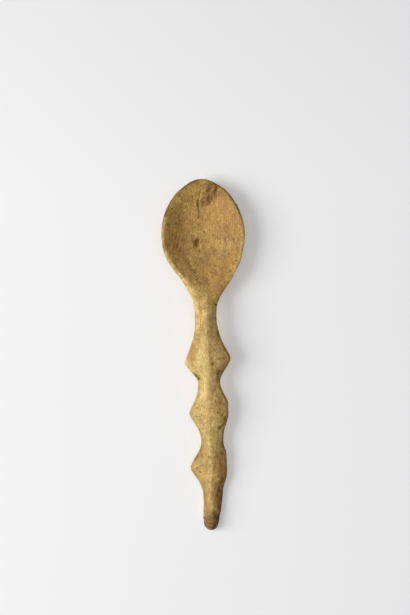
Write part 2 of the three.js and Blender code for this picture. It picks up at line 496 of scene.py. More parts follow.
# %% [markdown]
# ## Noise
#
# Nothing that is cut by hand is quite even. A displace modifier could move the points by a noise texture,
# but would leave no masks to stain by. So two kinds of noise are worked out here: soft waves, and a
# scatter of dots that serves for pores, chips and blade marks. Both start from whole-number cells, each
# with a value of its own, so they come out the same each time.

# %% Waves
CELL_STEPS = np.array([73856093, 19349663, 83492791])
SEED_STEP = 2654435761
MIXING_STEPS = [(15, 2246822519), (13, 3266489917)]
LAST_SHIFT = 16
KEPT_BITS = 0xFFFFFF


def cell_value(cells, seed):
    """A fixed random value from 0 to 1 for each whole-number cell."""
    mixed = cells @ CELL_STEPS + seed * SEED_STEP
    for shift, factor in MIXING_STEPS:
        mixed = (mixed ^ (mixed >> shift)) * factor
    return ((mixed ^ (mixed >> LAST_SHIFT)) & KEPT_BITS) / KEPT_BITS


def waves(size, seed):
    """Soft noise from -1 to 1, with waves of one size in mm or of one for each axis."""
    scaled = points / np.array(size)
    base = np.floor(scaled).astype(np.int64)
    share = ramp(scaled - base, 0, 1)
    total = np.zeros(count)
    for corner in itertools.product((0, 1), repeat=3):
        weight = np.where(np.array(corner) == 1, share, 1 - share).prod(axis=1)
        total += weight * cell_value(base + np.array(corner), seed)
    return 2 * total - 1


print("waves work on", count, "points")

# %% Scattered dots
def scatter(size, seed):
    """Distance to the nearest of scattered dots, in units of their spacing, and that dot's own value."""
    scaled = points / np.array(size)
    base = np.floor(scaled).astype(np.int64)
    nearest = np.full(count, np.inf)
    value = np.zeros(count)
    for offset in itertools.product((-1, 0, 1), repeat=3):
        cell = base + np.array(offset)
        dot = cell + np.stack([cell_value(cell, seed + axis) for axis in (1, 2, 3)], axis=1)
        distance = np.linalg.norm(scaled - dot, axis=1)
        closer = distance < nearest
        nearest = np.where(closer, distance, nearest)
        value = np.where(closer, cell_value(cell, seed), value)
    return nearest, value


def pores(size, radius, chance, seed):
    """A mask of small holes, with a share of the scattered dots left out."""
    distance, value = scatter(size, seed)
    return (value < chance) * np.clip(1 - (distance / radius) ** 2, 0, 1)


print("scattered dots work on", count, "points")

# %% [markdown]
# ## Strokes
#
# Marks and stains lie at places of their own. They could be painted on a picture wrapped around the
# spoon, but a picture has seams and its own resolution. A stroke is a mask along a line on the upper side,
# and with one place it is a round dab. Waves make each stroke tremble, so that none is a clean shape. A
# row of a list of strokes gives the strength, the width, and then the places as (across, station), in mm.

# %% Strokes
TREMBLE_MM = 0.35
TREMBLE_SIZE = (1.2, 1.4, 1.2)
TREMBLE_SEEDS = (81, 82)
NO_LENGTH = 1e-9

trembling = np.stack([across, station], axis=1)
for axis, tremble_seed in enumerate(TREMBLE_SEEDS):
    trembling[:, axis] += TREMBLE_MM * waves(TREMBLE_SIZE, tremble_seed)


def stroke(places, width):
    """A mask along a line through places, or round a single place, on the upper side."""
    mask = np.zeros(count)
    for start, stop in zip(places, places[1:] or places):
        run = np.array(stop, float) - start
        offset = trembling - start
        along_run = np.clip(offset @ run / max(run @ run, NO_LENGTH), 0, 1)
        distance = np.linalg.norm(offset - along_run[:, None] * run, axis=1)
        mask = np.maximum(mask, np.clip(1 - (distance / width) ** 2, 0, 1) ** 2)
    return upward * mask


def together(*masks):
    """One mask of several, each place taking the strongest."""
    return np.maximum.reduce(masks)


def painted(strokes):
    """One mask of a list of strokes."""
    return together(*[strength * stroke(places, width) for strength, width, *places in strokes])


print("strokes tremble by up to", TREMBLE_MM, "mm each way")

# %% [markdown]
# ## The shoulder of the bowl
#
# The neck runs into the bowl's rim with a broad soft shoulder on each side. A boolean could add it, but
# would leave seams. Instead the surface beside the edge is lifted up to the edge's own height, less and
# less away from it, and the shoulder narrows and fades out up the bowl.

# %% Shoulder of the bowl
EDGE_BAND = 1.2
SHOULDER_WIDTH = 0.6
SHOULDER_FALL = 7.0
SHOULDER_STARTS = (97, 102)
SHOULDER_NARROWS = (103, 124)
SHOULDER_ENDS = (104, 117)

edge_top = np.empty(count)
for sign in (LEFT, RIGHT):
    on_side = sign * across >= 0
    in_band = on_side & (edge_distance < EDGE_BAND)
    top_row = np.zeros(last_bin + 1)
    np.maximum.at(top_row, bins[in_band], points[in_band, 2])
    found = top_row > 0
    edge_top[on_side] = np.interp(station[on_side], bin_middles[found], smooth_row(top_row[found]))

shoulder_width = SHOULDER_WIDTH * (1 - ramp(station, *SHOULDER_NARROWS))
shoulder = ramp(station, *SHOULDER_STARTS)
shoulder *= 1 - ramp(edge_distance, shoulder_width, shoulder_width + SHOULDER_FALL)
below_edge = np.clip(edge_top - points[:, 2], 0, None)
lift = upward * shoulder * below_edge * (1 - ramp(station, *SHOULDER_ENDS))
points[:, 2] += lift
print("the shoulder rises by up to", lift.max().round(2), "mm")

# %% [markdown]
# ## Rounded edges
#
# Handling has rounded the upper edges of the handle. The rounding runs on up both sides of the bowl, where
# it narrows to the thin rim, later on the left than on the right. A bevel modifier rounds sharp edges, but
# the fine blank has none, so the drop of a quarter round is worked out from the distance to the edge.

# %% Rounded edges
HANDLE_ENDS = (92, 98)
RIM_STARTS_LEFT = (101, 122)
RIM_STARTS_RIGHT = (99, 113)
HANDLE_ROUND_SHARE = 0.62
HANDLE_ROUND_LEAST = 0.5
HANDLE_ROUND_WIDEST = 3.0
HANDLE_ROUND_DEPTH = 0.5
RIM_ROUND_WIDTH = 0.9
RIM_ROUND_DEPTH = 0.35


def rounded(width):
    """Drop of a quarter-round edge, as a share of its depth."""
    return 1 - np.sqrt(1 - at_edge(width) ** 2)


on_handle = 1 - ramp(station, *HANDLE_ENDS)
toward_rim = np.where(across < 0, ramp(station, *RIM_STARTS_LEFT), ramp(station, *RIM_STARTS_RIGHT))
handle_width = np.clip(HANDLE_ROUND_SHARE * edge_reach, HANDLE_ROUND_LEAST, HANDLE_ROUND_WIDEST)
handle_round = HANDLE_ROUND_DEPTH * handle_width * rounded(handle_width)
rim_round = RIM_ROUND_DEPTH * rounded(RIM_ROUND_WIDTH)
round_drop = (1 - toward_rim) * handle_round + toward_rim * rim_round
print("edges are rounded down by up to", round_drop.max().round(2), "mm")

# %% [markdown]
# ## Ridge and notch bevels
#
# A soft ridge runs down the handle, and the lobes lie like low wings on both sides of it, though hardly
# any lower at the middle lobe. Each lobe was cut free from its lower side with a slanting blade, steeper
# on the right. Cutters could be placed notch by notch, but the outline shows where the bevels are: wherever
# the edge runs outwards towards the bowl. The wall below an edge gives way with the cut instead of folding,
# and a little smoothing along the edges ends it.

# %% Ridge and notch bevels
RIDGE_AT = 0.3
RIDGE_SIDES = (0.5, 2.6)
WING_DROP = 0.4
MIDDLE_LOBE = ((41, 46), (54, 59))
MIDDLE_LOBE_SPARED = 0.8
BEVEL_WIDTH = 2.0
BEVEL_DEPTH_LEFT = 1.6
BEVEL_DEPTH_RIGHT = 2.3
BEVEL_SLOPE = (0.15, 0.5)
BEVELS_START = (9, 12)
WALL_GIVE = 0.75
WALL_LEAST = 0.2
EDGE_SMOOTH_PASSES = 5
EDGE_SMOOTH_WIDTH = 2.5
EDGE_SMOOTH_STRENGTH = 0.5


def along(rise, fall):
    """1 along a part of the spoon, with a smooth rise and fall between two stations each."""
    return ramp(station, *rise) * (1 - ramp(station, *fall))


lower_flank = ramp(edge_slope, *BEVEL_SLOPE) * on_handle * ramp(station, *BEVELS_START)
bevel_depth = np.where(across < 0, BEVEL_DEPTH_LEFT, BEVEL_DEPTH_RIGHT)
bevel_drop = lower_flank * bevel_depth * at_edge(BEVEL_WIDTH)
wing_drop = on_handle * WING_DROP * (1 - MIDDLE_LOBE_SPARED * along(*MIDDLE_LOBE))
wing_drop *= ramp(np.abs(across - RIDGE_AT), *RIDGE_SIDES)
drop = np.maximum(round_drop, bevel_drop) + wing_drop
wall = drop / WALL_GIVE + WALL_LEAST
points[:, 2] -= drop * np.clip(1 - (edge_top - points[:, 2]) / wall, 0, 1)
for _ in range(EDGE_SMOOTH_PASSES):
    relax(EDGE_SMOOTH_STRENGTH * at_edge(EDGE_SMOOTH_WIDTH)[:, None])
normals = surface_normals()
print("deepest cut at an edge:", drop.max().round(2), "mm")

# %% [markdown]
# ## Blade marks
#
# Bone is scraped along its length. The blade leaves long shallow scallops on the handle and rounder ones
# in the bowl, and fine lines along the grain. The rim wavers a little, and its edge has small chips. Bump
# in the material could fake all this, but not at the outline. So the surface itself will move, and its
# heights are summed up first.

# %% Blade marks
HANDLE_BLADE = dict(scallop_size=(4.5, 13, 4.5), scallop_depth=0.2, swell_size=(3, 9, 3), swell_depth=0.1)
BOWL_BLADE = dict(scallop_size=(6, 9, 9), scallop_depth=0.14, swell_size=(4, 7, 4), swell_depth=0.06)
GRAIN_LINE_SIZE = (0.7, 3.2, 0.7)
GRAIN_LINE_DEPTH = 0.035
GRAIN_DOT_SIZE = (0.6, 0.8, 0.6)
GRAIN_DOT_DEPTH = 0.02
RIM_FROM = (100, 106)
RIM_WIDTH = 2.2
RIM_WAVE_SIZE = 4
RIM_WAVE_DEPTH = 0.14
CHIP_WIDTH = 1.0
CHIP_DEPTH = 0.22


def scraped(scallop_size, scallop_depth, swell_size, swell_depth, seed):
    """Height of a scraped surface: scallops with ridges between them, and a slow swell."""
    distance, _ = scatter(scallop_size, seed)
    return scallop_depth * distance**2 + swell_depth * waves(swell_size, seed + 1)


height = on_handle * scraped(**HANDLE_BLADE, seed=11)
height += (1 - on_handle) * scraped(**BOWL_BLADE, seed=21)
height -= height.mean()
grain_lines = GRAIN_LINE_DEPTH * waves(GRAIN_LINE_SIZE, seed=13)
height += grain_lines + GRAIN_DOT_DEPTH * waves(GRAIN_DOT_SIZE, seed=14)
on_rim = ramp(station, *RIM_FROM) * at_edge(RIM_WIDTH)
chips = at_edge(CHIP_WIDTH) * pores(size=(4, 5, 4), radius=0.28, chance=0.5, seed=31)
height += on_rim * RIM_WAVE_DEPTH * waves(RIM_WAVE_SIZE, seed=32) - CHIP_DEPTH * chips
print("blade marks from", height.min().round(2), "to", height.max().round(2), "mm")

# %% [markdown]
# ## Marks in the bowl
#
# The bowl has a stained pore, a thin groove, a cluster of slanting gouges near its tip and some fine
# scratches. Dark colour alone could show them, but they would look flat in a low view. So each is cut as
# deep as it looks, and its mask later carries its stain. Noise breaks the gouges up, because a blade that
# slips cuts in fits and starts.

# %% Pit, groove and scratches
RAGGED_SIZE = 0.8
RAGGED_SHARE = 0.35
PIT_DEPTH = 0.5
GROOVE_DEPTH = 0.22
SCRATCH_DEPTH = 0.1
PIT_STROKES = [
    (1.4, 1.5, (-2.4, 124.9), (-2.8, 123.9)),
    (0.9, 2.1, (-3.3, 124), (-3, 122.4)),
]
GROOVE_STROKES = [
    (1.2, 0.95, (-1.8, 141.8), (-1.7, 138)),
    (1, 0.75, (-1.7, 138), (-1.65, 134.4)),
]
SCRATCH_STROKES = [
    (0.8, 0.65, (-6.7, 147), (-5.8, 143.3)),
    (0.8, 0.65, (-0.6, 146.2), (-1.5, 143.2)),
    (1, 0.7, (-9.6, 145.2), (-8.3, 142.1)),
    (0.7, 0.65, (-4.1, 143.4), (-4, 141)),
]

pit = (1 + RAGGED_SHARE * waves(RAGGED_SIZE, seed=42)) * painted(PIT_STROKES)
groove = painted(GROOVE_STROKES)
scratches = painted(SCRATCH_STROKES)
cuts = PIT_DEPTH * pit + GROOVE_DEPTH * groove + SCRATCH_DEPTH * scratches
print("the deepest mark is", cuts.max().round(2), "mm deep")

# %% Gouges
BROKEN_SIZE = (0.7, 3.5, 2.0)
BROKEN_LEVEL = 0.75
BROKEN_SHARE = 0.5
GOUGE_DEPTH = 0.22
SCAR_DEPTH = 0.1
GOUGE_STROKES = [
    (1, 1.2, (3.9, 148.4), (3.2, 146)),
    (0.9, 1.4, (6.4, 147.8), (5.8, 145.6)),
    (1, 1.3, (2.6, 147.6), (2.1, 145.2)),
    (0.6, 1.3, (5.8, 145.6), (4.9, 143.8)),
    (0.7, 1, (5.2, 143.4), (4.2, 141.6)),
    (0.9, 1, (1.5, 143.7), (0, 140.2)),
    (0.9, 1, (4.4, 143.4), (2.6, 140.2)),
    (0.9, 0.9, (3, 143.4), (1.6, 139.6)),
]
SCAR_STROKES = [
    (1.1, 2.6, (3.4, 148), (2.4, 144.6)),
    (1, 1.9, (6.1, 147.8), (4.8, 144)),
    (1.2, 3.2, (4.6, 143.6), (1.2, 141.2)),
]

broken = BROKEN_LEVEL + BROKEN_SHARE * waves(BROKEN_SIZE, seed=41)
gouges = np.clip(broken, 0, 1) * painted(GOUGE_STROKES)
scar = painted(SCAR_STROKES)
cuts = cuts + GOUGE_DEPTH * gouges + SCAR_DEPTH * scar
height -= cuts
print("gouges cover", int((gouges > 0).sum()), "points")

# %% [markdown]
# ## Pores
#
# Small blood vessels leave pores in bone, drawn out along the grain. A picture of pores would show its
# repeats. They are scattered instead, coarse and fine ones on every side, with some left out at random.

# %% Pores
COARSE_PORE_DEPTH = 0.12
FINE_PORE_DEPTH = 0.06

coarse_pores = pores(size=(2.6, 4.2, 2.6), radius=0.2, chance=0.55, seed=51)
fine_pores = pores(size=(1.3, 2.4, 1.3), radius=0.24, chance=0.5, seed=61)
height -= COARSE_PORE_DEPTH * coarse_pores + FINE_PORE_DEPTH * fine_pores
print("pores cover", f"{(together(coarse_pores, fine_pores) > 0).mean():.1%}", "of the points")

# %% [markdown]
# ## The worn end
#
# The end of the handle is battered and rough, with a chip on its left, and wear has turned it grey. The
# limit of the wear slants across the handle and wavers. Brushes could roughen it, and paint grey it, but
# the two would hardly match. One mask serves for both, the roughness here and the colour later.

# %% Worn end
END_SLANT = 0.45
END_SLANT_ACROSS = (-3, 1)
END_WAVER_SIZE = 1.8
END_LIMIT = (6.0, 8.6)
END_DENT_SIZE = 1.3
END_DENT_DEPTH = 0.14
END_GRIT_SIZE = 0.7
END_GRIT_DEPTH = 0.07
END_CHIP_AT = (-3.4, 4.6)
END_CHIP_WIDTH = 1.3
END_CHIP_DEPTH = 0.35

slanting = station - END_SLANT * np.clip(across, *END_SLANT_ACROSS)
worn_end = 1 - ramp(slanting + waves(END_WAVER_SIZE, seed=71), *END_LIMIT)
from_chip = np.hypot(across - END_CHIP_AT[0], station - END_CHIP_AT[1])
end_chip = np.clip(1 - from_chip / END_CHIP_WIDTH, 0, 1)
battered = END_DENT_DEPTH * waves(END_DENT_SIZE, seed=72) + END_GRIT_DEPTH * waves(END_GRIT_SIZE, seed=73)
height += worn_end * battered - END_CHIP_DEPTH * end_chip
print("the end is worn up to station", station[worn_end > 0].max().round(1), "mm")

# %% [markdown]
# ## Cutting, and taking off the burrs
#
# Now all heights are cut at once, along the normals. A carver rubs off the burrs that cutting leaves. Here
# they are points whose neighbours' normals disagree. Smoothing everything would soften the cuts, so only
# those points are smoothed, a little at a time. No point may end up below the table.

# %% Cut and smooth the burrs
BURR_PASSES = 12
BURR_PINCH = (0.07, 0.2)
BURR_STRENGTH = 0.5

points += height[:, None] * normals
normals = surface_normals()
for _ in range(BURR_PASSES):
    pinched = 1 - np.linalg.norm(neighbour_mean(normals), axis=1)
    burr = ramp(pinched, *BURR_PINCH)[:, None]
    relax(BURR_STRENGTH * np.maximum(burr, neighbour_mean(burr)))
    normals = surface_normals()
points[:, 2] = np.maximum(points[:, 2], 0)
normals = surface_normals()
print("carved from", height.min().round(2), "to", height.max().round(2), "mm")

# %% [markdown]
# ## Pale and golden bone
#
# Colour follows use. The handle is rubbed pale, most on its crest and towards the bowl, and the bowl is
# golden in places. The pale mask also holds painted light: the bevels on the left side face the window and
# are lightened, and so are a few walls that face away from it. A picture could be projected on the spoon,
# but it would only fit one view. Each colour is a mask of strokes and measures instead, and the material
# decides later how it looks.

# %% Pale mask
LOBES_PALE = 0.6
LOBES_FROM = (36, 44)
LOW_LOBE_PALE = 0.44
LOW_LOBE_FROM = (20, 26)
SHANK_PALE = 0.33
SHANK_FROM = (6, 12)
NECK = ((84, 89), (95, 99))
NECK_LOSS = 0.26
CREST_SHIFT = -0.3
CREST_WIDTH = 1.4
CREST_FROM = (12, 20)
CREST_PALE = 0.72
CREST_NECK_LOSS = 0.9
BEVEL_PAINTED_LIGHT = 0.8
BEVEL_PAINTED_LIGHT_WIDTH = 2.5
PALE_AND_LIT_STROKES = [
    # bowl, with painted light where its walls face away from the window
    (0.3, 3.5, (-6, 147), (-11, 143)),
    (0.5, 2.4, (-10, 142.8)),
    (0.8, 2.6, (-11.6, 143.2), (-13.2, 140)),
    (0.35, 1.6, (-15.6, 133.5), (-16.2, 126.5)),
    (0.5, 1.4, (-17.6, 130), (-17.6, 123)),
    (0.4, 1.5, (16.9, 124), (15.2, 116), (12.4, 110)),
    (0.6, 1.9, (-15.6, 119), (-12.2, 112.4), (-9.8, 108.8)),
    (0.6, 3.2, (-10, 114), (-7.2, 108.4)),
    (0.4, 3.5, (-4.5, 108), (-2, 102)),
    (1, 2.3, (-10.6, 109.8), (-7, 104.2), (-3.8, 97)),
    (0.5, 5, (-5, 107), (-0.5, 98)),
    # neck
    (0.65, 3.8, (-0.5, 98), (1.2, 93.5)),
    (0.75, 2.4, (-4.4, 101), (-3.8, 90), (-3.6, 85)),
    # first lobe
    (1.2, 5, (-1.2, 77), (-1.2, 68)),
    (1, 2.4, (-7.6, 71.4), (-5.4, 68.4)),
    (0.9, 5, (-1.2, 66), (-1.8, 58)),
    # middle lobe
    (0.8, 2.4, (1.8, 54), (1.8, 44)),
    (1, 2.4, (-6.4, 49.4), (-4, 44.6)),
    (0.7, 4.5, (-2, 48), (-2, 42)),
    # third lobe
    # painted light on the shaded right flank
    (0.8, 2.5, (2.6, 42), (2.6, 37)),
    (0.7, 2.2, (0.2, 30), (0.2, 24)),
]

at_neck = along(*NECK)
crest = on_handle * np.clip(1 - np.abs(across - RIDGE_AT - CREST_SHIFT) / CREST_WIDTH, 0, 1)
crest *= ramp(station, *CREST_FROM)
# Painted light: the bevels on the left face the window and are lightened in colour.
lit_left_bevel = lower_flank * (across < 0) * at_edge(BEVEL_PAINTED_LIGHT_WIDTH)
pale_and_lit = together(
    on_handle * (LOBES_PALE * ramp(station, *LOBES_FROM) - NECK_LOSS * at_neck),
    LOW_LOBE_PALE * on_handle * ramp(station, *LOW_LOBE_FROM),
    SHANK_PALE * on_handle * ramp(station, *SHANK_FROM),
    CREST_PALE * crest * (1 - CREST_NECK_LOSS * at_neck),
    BEVEL_PAINTED_LIGHT * lit_left_bevel,
    painted(PALE_AND_LIT_STROKES),
)
print("mean of pale:", pale_and_lit.mean().round(3))

# %% Golden mask
GOLDEN_STROKES = [
    (0.8, 5, (-8, 145), (0, 147)),
    (1, 3.5, (-9, 145.5), (-12.5, 140.5)),
    (0.6, 4, (9, 140.5), (12.5, 136.5)),
    (0.9, 6.5, (4.5, 138.5), (9, 134)),
    (0.6, 4.5, (11, 138), (13.5, 128)),
    (0.6, 4, (-6, 140), (-4, 131), (-5, 120)),
    (0.8, 6, (2.5, 133), (3.5, 126)),
    (0.7, 6, (-2.5, 128)),
    (0.6, 3, (-7.4, 124.8)),
    (0.3, 4, (10.5, 118), (8, 108)),
    (0.4, 4, (-6, 111), (-4, 106)),
]

golden = painted(GOLDEN_STROKES)
print("mean of golden:", golden.mean().round(3))

# %% [markdown]
# ## Brown and rusty stains
#
# Brown has soaked into the bowl's left side and round the gouges. On the right of the handle, which
# faces away from the window, the brown is partly stain and partly painted shade. A rusty tone goes with it,
# and small freckles lie in the bowl and on the lobes. One mask for all would make the stains look alike,
# and three can lie over each other in any strength.

# %% Brown mask
# Strokes on the handle's right side, which faces away from the window, are partly painted shade.
BROWN_AND_SHADE_STROKES = [
    # bowl
    (0.3, 2.6, (11.4, 141.2)),
    (0.5, 3.4, (-10.8, 139.6), (-10.2, 136.5)),
    (0.7, 1.3, (-14.4, 143.5), (-17, 137.5), (-17.6, 133)),
    (0.6, 3.4, (-9.6, 134), (-10, 130)),
    (0.6, 3.6, (10.4, 129.4)),
    (0.3, 4, (13.5, 134), (14, 124)),
    (0.6, 3.8, (-12.6, 127), (-12, 122.5)),
    (0.4, 3.6, (12.8, 124), (12, 116)),
    (0.45, 4, (-9.5, 120.5), (-7, 114)),
    (0.3, 9, (0, 117), (1, 107)),
    (0.5, 4, (9.5, 117), (7.5, 108), (4.5, 103)),
    # neck
    (0.35, 2.4, (-1.5, 92)),
    (0.5, 2.6, (3.2, 93), (3, 88), (4.6, 80)),
    # first lobe
    (0.4, 3.5, (-6, 79), (-6.6, 75)),
    (0.6, 3, (5.4, 78), (7.4, 72)),
    (0.6, 2.2, (7.4, 71.6), (4.8, 69)),
    # middle lobe
    (0.8, 2.4, (4.2, 55.6), (6.4, 54.4)),
    (0.65, 3, (5, 57), (5.6, 48)),
    # third lobe
    (0.3, 2.6, (-1, 40)),
    (0.45, 3, (-2.2, 36.4), (-3.6, 33)),
    (0.75, 2.6, (-3.4, 36), (-6.6, 31.2)),
    (0.9, 3.2, (4.6, 38), (4.8, 24)),
    (0.6, 1.3, (-1.3, 32), (-1.4, 26)),
    (0.5, 1.7, (-7.2, 28.6)),
    # shank and end
    (0.4, 2.6, (-2.6, 21), (-2.2, 10)),
    (1.2, 2.9, (3.8, 20), (3.4, 11)),
]

brown_and_shade = together(scar, painted(BROWN_AND_SHADE_STROKES))
print("mean of brown:", brown_and_shade.mean().round(3))

# %% Rust mask
RUST_STROKES = [
    # along the handle
    (0.28, 2.4, (2.8, 98), (3, 86), (3.4, 76), (2.6, 64), (2.6, 48)),
    # bowl
    (0.42, 6, (9.5, 136), (12, 127)),
    (0.3, 5, (-8.8, 133), (-11, 125), (-9, 118.5)),
    (0.4, 3.4, (-13.6, 132), (-12.4, 120), (-7.3, 109.5), (-2, 102.5)),
    # first lobe
    (0.55, 2.6, (-3.4, 86), (-3.4, 80)),
    (0.8, 2.6, (-6.4, 76), (-5.4, 80)),
    (0.6, 2.4, (8.1, 74.6)),
    (0.9, 3.2, (-6.6, 74.4)),
    # middle lobe
    (0.4, 4, (-3.5, 52)),
    (0.35, 3, (4.6, 56), (5.2, 47)),
    (0.35, 3.5, (0.6, 54), (0.6, 48)),
    # third lobe
    (0.8, 2.6, (-3.4, 36), (-6.6, 31.2)),
    (0.7, 1.9, (-2.6, 32.6), (-4.6, 30.6)),
    (0.5, 3.6, (-3.4, 32.6), (-4.6, 27.6)),
    (0.6, 3.2, (4.2, 34), (4.6, 25)),
    (0.5, 1.8, (-2, 26.7)),
]

rust = painted(RUST_STROKES)
print("mean of rust:", rust.mean().round(3))

# %% Freckle mask
BOWL_FRECKLED = 0.5
END_FRECKLED = 0.5
FRECKLED_STROKES = [
    # bowl
    (1, 6, (-10.5, 138), (-11.5, 122)),
    (0.8, 9, (-3, 118), (0, 106)),
    # neck
    (0.7, 4, (3.5, 94), (4.5, 80)),
    # first lobe
    (0.8, 4.5, (5, 78), (6, 71)),
    (0.6, 3.5, (-6.5, 76), (-5.5, 71)),
    # middle lobe
    (0.8, 4, (-4.5, 51)),
    (0.6, 4.5, (4, 57), (5, 48), (4, 43)),
    # third lobe
    (1, 4.5, (-3.2, 33), (-4.4, 27)),
    (1, 3.6, (4.2, 36), (4.6, 24), (3, 9)),
]

freckled = together(
    BOWL_FRECKLED * (1 - on_handle),
    END_FRECKLED * worn_end,
    painted(FRECKLED_STROKES),
)
print("mean of freckled:", freckled.mean().round(3))

# %% [markdown]
# ## Grime
#
# Dirt stays where a cloth can't reach: in the notches, in the marks of the bowl and in spots on the lobes.
# The notches, the right edges of the handle and the rim round the tip are darker partly from dirt and
# partly as painted shade, where they turn away from the window. A thin line of dirt runs along the left
# edge too.
# A shader can find hollows by itself, but dirt is not in all of them. So strokes say where it sits, lines
# follow the measured edges, and concave places are darkened a little.

# %% Grime and painted shade in notches and spots
# Notch strokes darken bevels that face away from the window: grime and painted shade together.
NOTCH_STROKES = [
    # neck
    (1, 1.2, (4.8, 97)),
    (0.7, 0.9, (-1.3, 93.8)),
    # first lobe
    (0.7, 1.5, (7.8, 74.2)),
    (0.5, 1.1, (-6.4, 74)),
    (0.85, 1.5, (2.5, 72.1)),
    (0.6, 1.1, (9.4, 72.4), (7.8, 70.2)),
    (0.9, 1.7, (7.6, 70), (5.8, 67.6)),
    (1.6, 2, (4.6, 68.1)),
    (1, 1.3, (-5.2, 67.6), (-3.6, 65.6)),
    (1, 1.6, (4.9, 66.8), (4.4, 64.2)),
    # middle lobe
    (0.6, 1.4, (3.6, 62.4), (3, 60.6)),
    (0.6, 1.1, (-4.7, 53)),
    (0.7, 1.2, (5.7, 52.4)),
    (0.7, 1.2, (4.2, 51.2)),
    (0.75, 1.3, (5.8, 49.8)),
    (0.6, 1.1, (-4.9, 49.8)),
    (1.1, 1.5, (7.4, 48.8), (6.2, 45.4)),
    (1.1, 1.7, (4.8, 44.6)),
    (0.35, 1.2, (-3.2, 42.2), (-4.3, 44.4)),
    # third lobe
    (1.2, 1.7, (5.5, 33.8)),
    (0.6, 1.2, (-3.3, 32.2)),
    (1, 1.6, (3.3, 32)),
    (0.6, 1.2, (-5.5, 27.3)),
    (0.7, 1.5, (4.1, 26)),
    (0.5, 1, (-7.3, 26.5), (-5, 23.5)),
    # shank and end
    (1, 1.6, (5.2, 22.4), (4.9, 20.4)),
    (1.1, 1.8, (4.1, 18), (3.7, 15.4)),
    (0.75, 2.6, (1.4, 7.8), (3, 6.2)),
    (0.3, 1.3, (-2.8, 5.6), (-3.6, 5)),
    (0.9, 1.1, (-0.6, 3.6)),
    (1, 1.5, (1, 1.6), (2.6, 3.6)),
    (0.5, 1.4, (-0.4, 2)),
]

notches = painted(NOTCH_STROKES)
print("mean of notches and spots:", notches.mean().round(3))

# %% Grime and painted shade along the edges
RIGHT_EDGE_WIDTH = 1.8
BOWL_SHARE = 0.2
RIGHT_EDGE_SHADE_AND_GRIME = 0.6
SHANK_RIGHT = ((2, 6), (18, 36))
SHANK_RIGHT_SHADE = 1.1
TIP_FROM_LEFT = (130, 138)
TIP_FROM_RIGHT = (128, 140)
TIP_WIDTH_LEFT = 1.7
TIP_WIDTH_RIGHT = 1.3
TIP_LEFT_SHARE = 1.2
TIP_SHADE_AND_GRIME = 1.1
LEFT_LINE = ((9, 14), (61, 68))
LEFT_LINE_WIDTH = (0.7, 2.0)
LEFT_LINE_GRIME = 0.36
LEFT_BEVEL_GRIME = 0.12
RIGHT_LINE = ((9, 14), (84, 90))
RIGHT_LINE_WIDTH = 1.6
RIGHT_LINE_SHADE = 1.15

# The right edges face away from the window: their darkening is painted shade and grime, and on the shank's
# right side and the right line it is painted shade.
right_edge = (across > 0) * at_edge(RIGHT_EDGE_WIDTH)
right_edge = right_edge * (BOWL_SHARE + (1 - BOWL_SHARE) * on_handle)
# The rim round the tip is darkened by grime and painted shade.
tip_left = TIP_LEFT_SHARE * ramp(station, *TIP_FROM_LEFT) * at_edge(TIP_WIDTH_LEFT)
tip_right = ramp(station, *TIP_FROM_RIGHT) * at_edge(TIP_WIDTH_RIGHT)
left_line = (across < 0) * along(*LEFT_LINE) * (1 - ramp(edge_distance, *LEFT_LINE_WIDTH))
right_line = (across > 0) * along(*RIGHT_LINE) * at_edge(RIGHT_LINE_WIDTH)
edge_grime_and_shade = together(
    (RIGHT_EDGE_SHADE_AND_GRIME + SHANK_RIGHT_SHADE * along(*SHANK_RIGHT)) * right_edge,
    TIP_SHADE_AND_GRIME * np.where(across < 0, tip_left, tip_right),
    (LEFT_LINE_GRIME + LEFT_BEVEL_GRIME * lower_flank) * left_line,
    RIGHT_LINE_SHADE * right_line,
)
print("mean of edge grime:", edge_grime_and_shade.mean().round(3))

# %% Grime and painted shade mask
PIT_GRIME = 0.8
GROOVE_GRIME = 0.85
SCRATCH_GRIME = 0.8
CURVE_PASSES = 3
HOLLOW_CURVE = (0.002, 0.02)
HOLLOW_DARKENING = 0.2

# Concave places are darkened a little.
bend = ((neighbour_mean(points) - points) * normals).sum(axis=1)[:, None]
for _ in range(CURVE_PASSES):
    bend = neighbour_mean(bend)
concave = ramp(bend[:, 0], *HOLLOW_CURVE)
mark_grime = together(PIT_GRIME * pit, gouges, GROOVE_GRIME * groove, SCRATCH_GRIME * scratches)
dark = together(notches, edge_grime_and_shade, mark_grime) + HOLLOW_DARKENING * concave
print("mean of dark:", dark.mean().round(3))

# %% [markdown]
# ## Keeping the masks
#
# On the real spoon the stains are in the bone itself. Here the masks stay with the mesh, as one number per
# point and mask. A picture on unwrapped faces could hold them too, but would have seams, and this mesh is
# fine enough to do without.

# %% Keep the masks with the mesh
FINE_PORE_SHARE = 0.7

masks = dict(pale_and_lit=pale_and_lit, golden=golden, brown_and_shade=brown_and_shade, rust=rust, freckled=freckled, dark=dark)
masks.update(grey_end=worn_end, handle=on_handle)
masks.update(pore=together(coarse_pores, FINE_PORE_SHARE * fine_pores))
for name, mask in masks.items():
    layer = spoon_mesh.attributes.new(name, "FLOAT", "POINT")
    layer.data.foreach_set("value", mask.astype(np.float32))
spoon_mesh.shade_smooth()
spoon = add_object("carved_spoon", spoon_mesh)
print("kept", len(masks), "masks with", count, "points")

# %% [markdown]
# ## Aged bone
#
# The finish is one material, because the spoon is one piece. A picture could carry the colour, but would
# blur in close views. So everything is worked out from the masks and from noises in object coordinates,
# which stay with the spoon. A few helpers put the nodes together.

# %% Helpers for the bone
NOISE_SPAN = (0.3, 0.7)

bone = bpy.data.materials.new("aged_bone")
bone.use_nodes = True
bone_tree = bone.node_tree
bone_place = add_node(bone_tree, "TexCoord", {}).outputs["Object"]
maths = functools.partial(arithmetic, bone_tree)
between = functools.partial(remap, bone_tree)
tint = functools.partial(mix_colour, bone_tree)


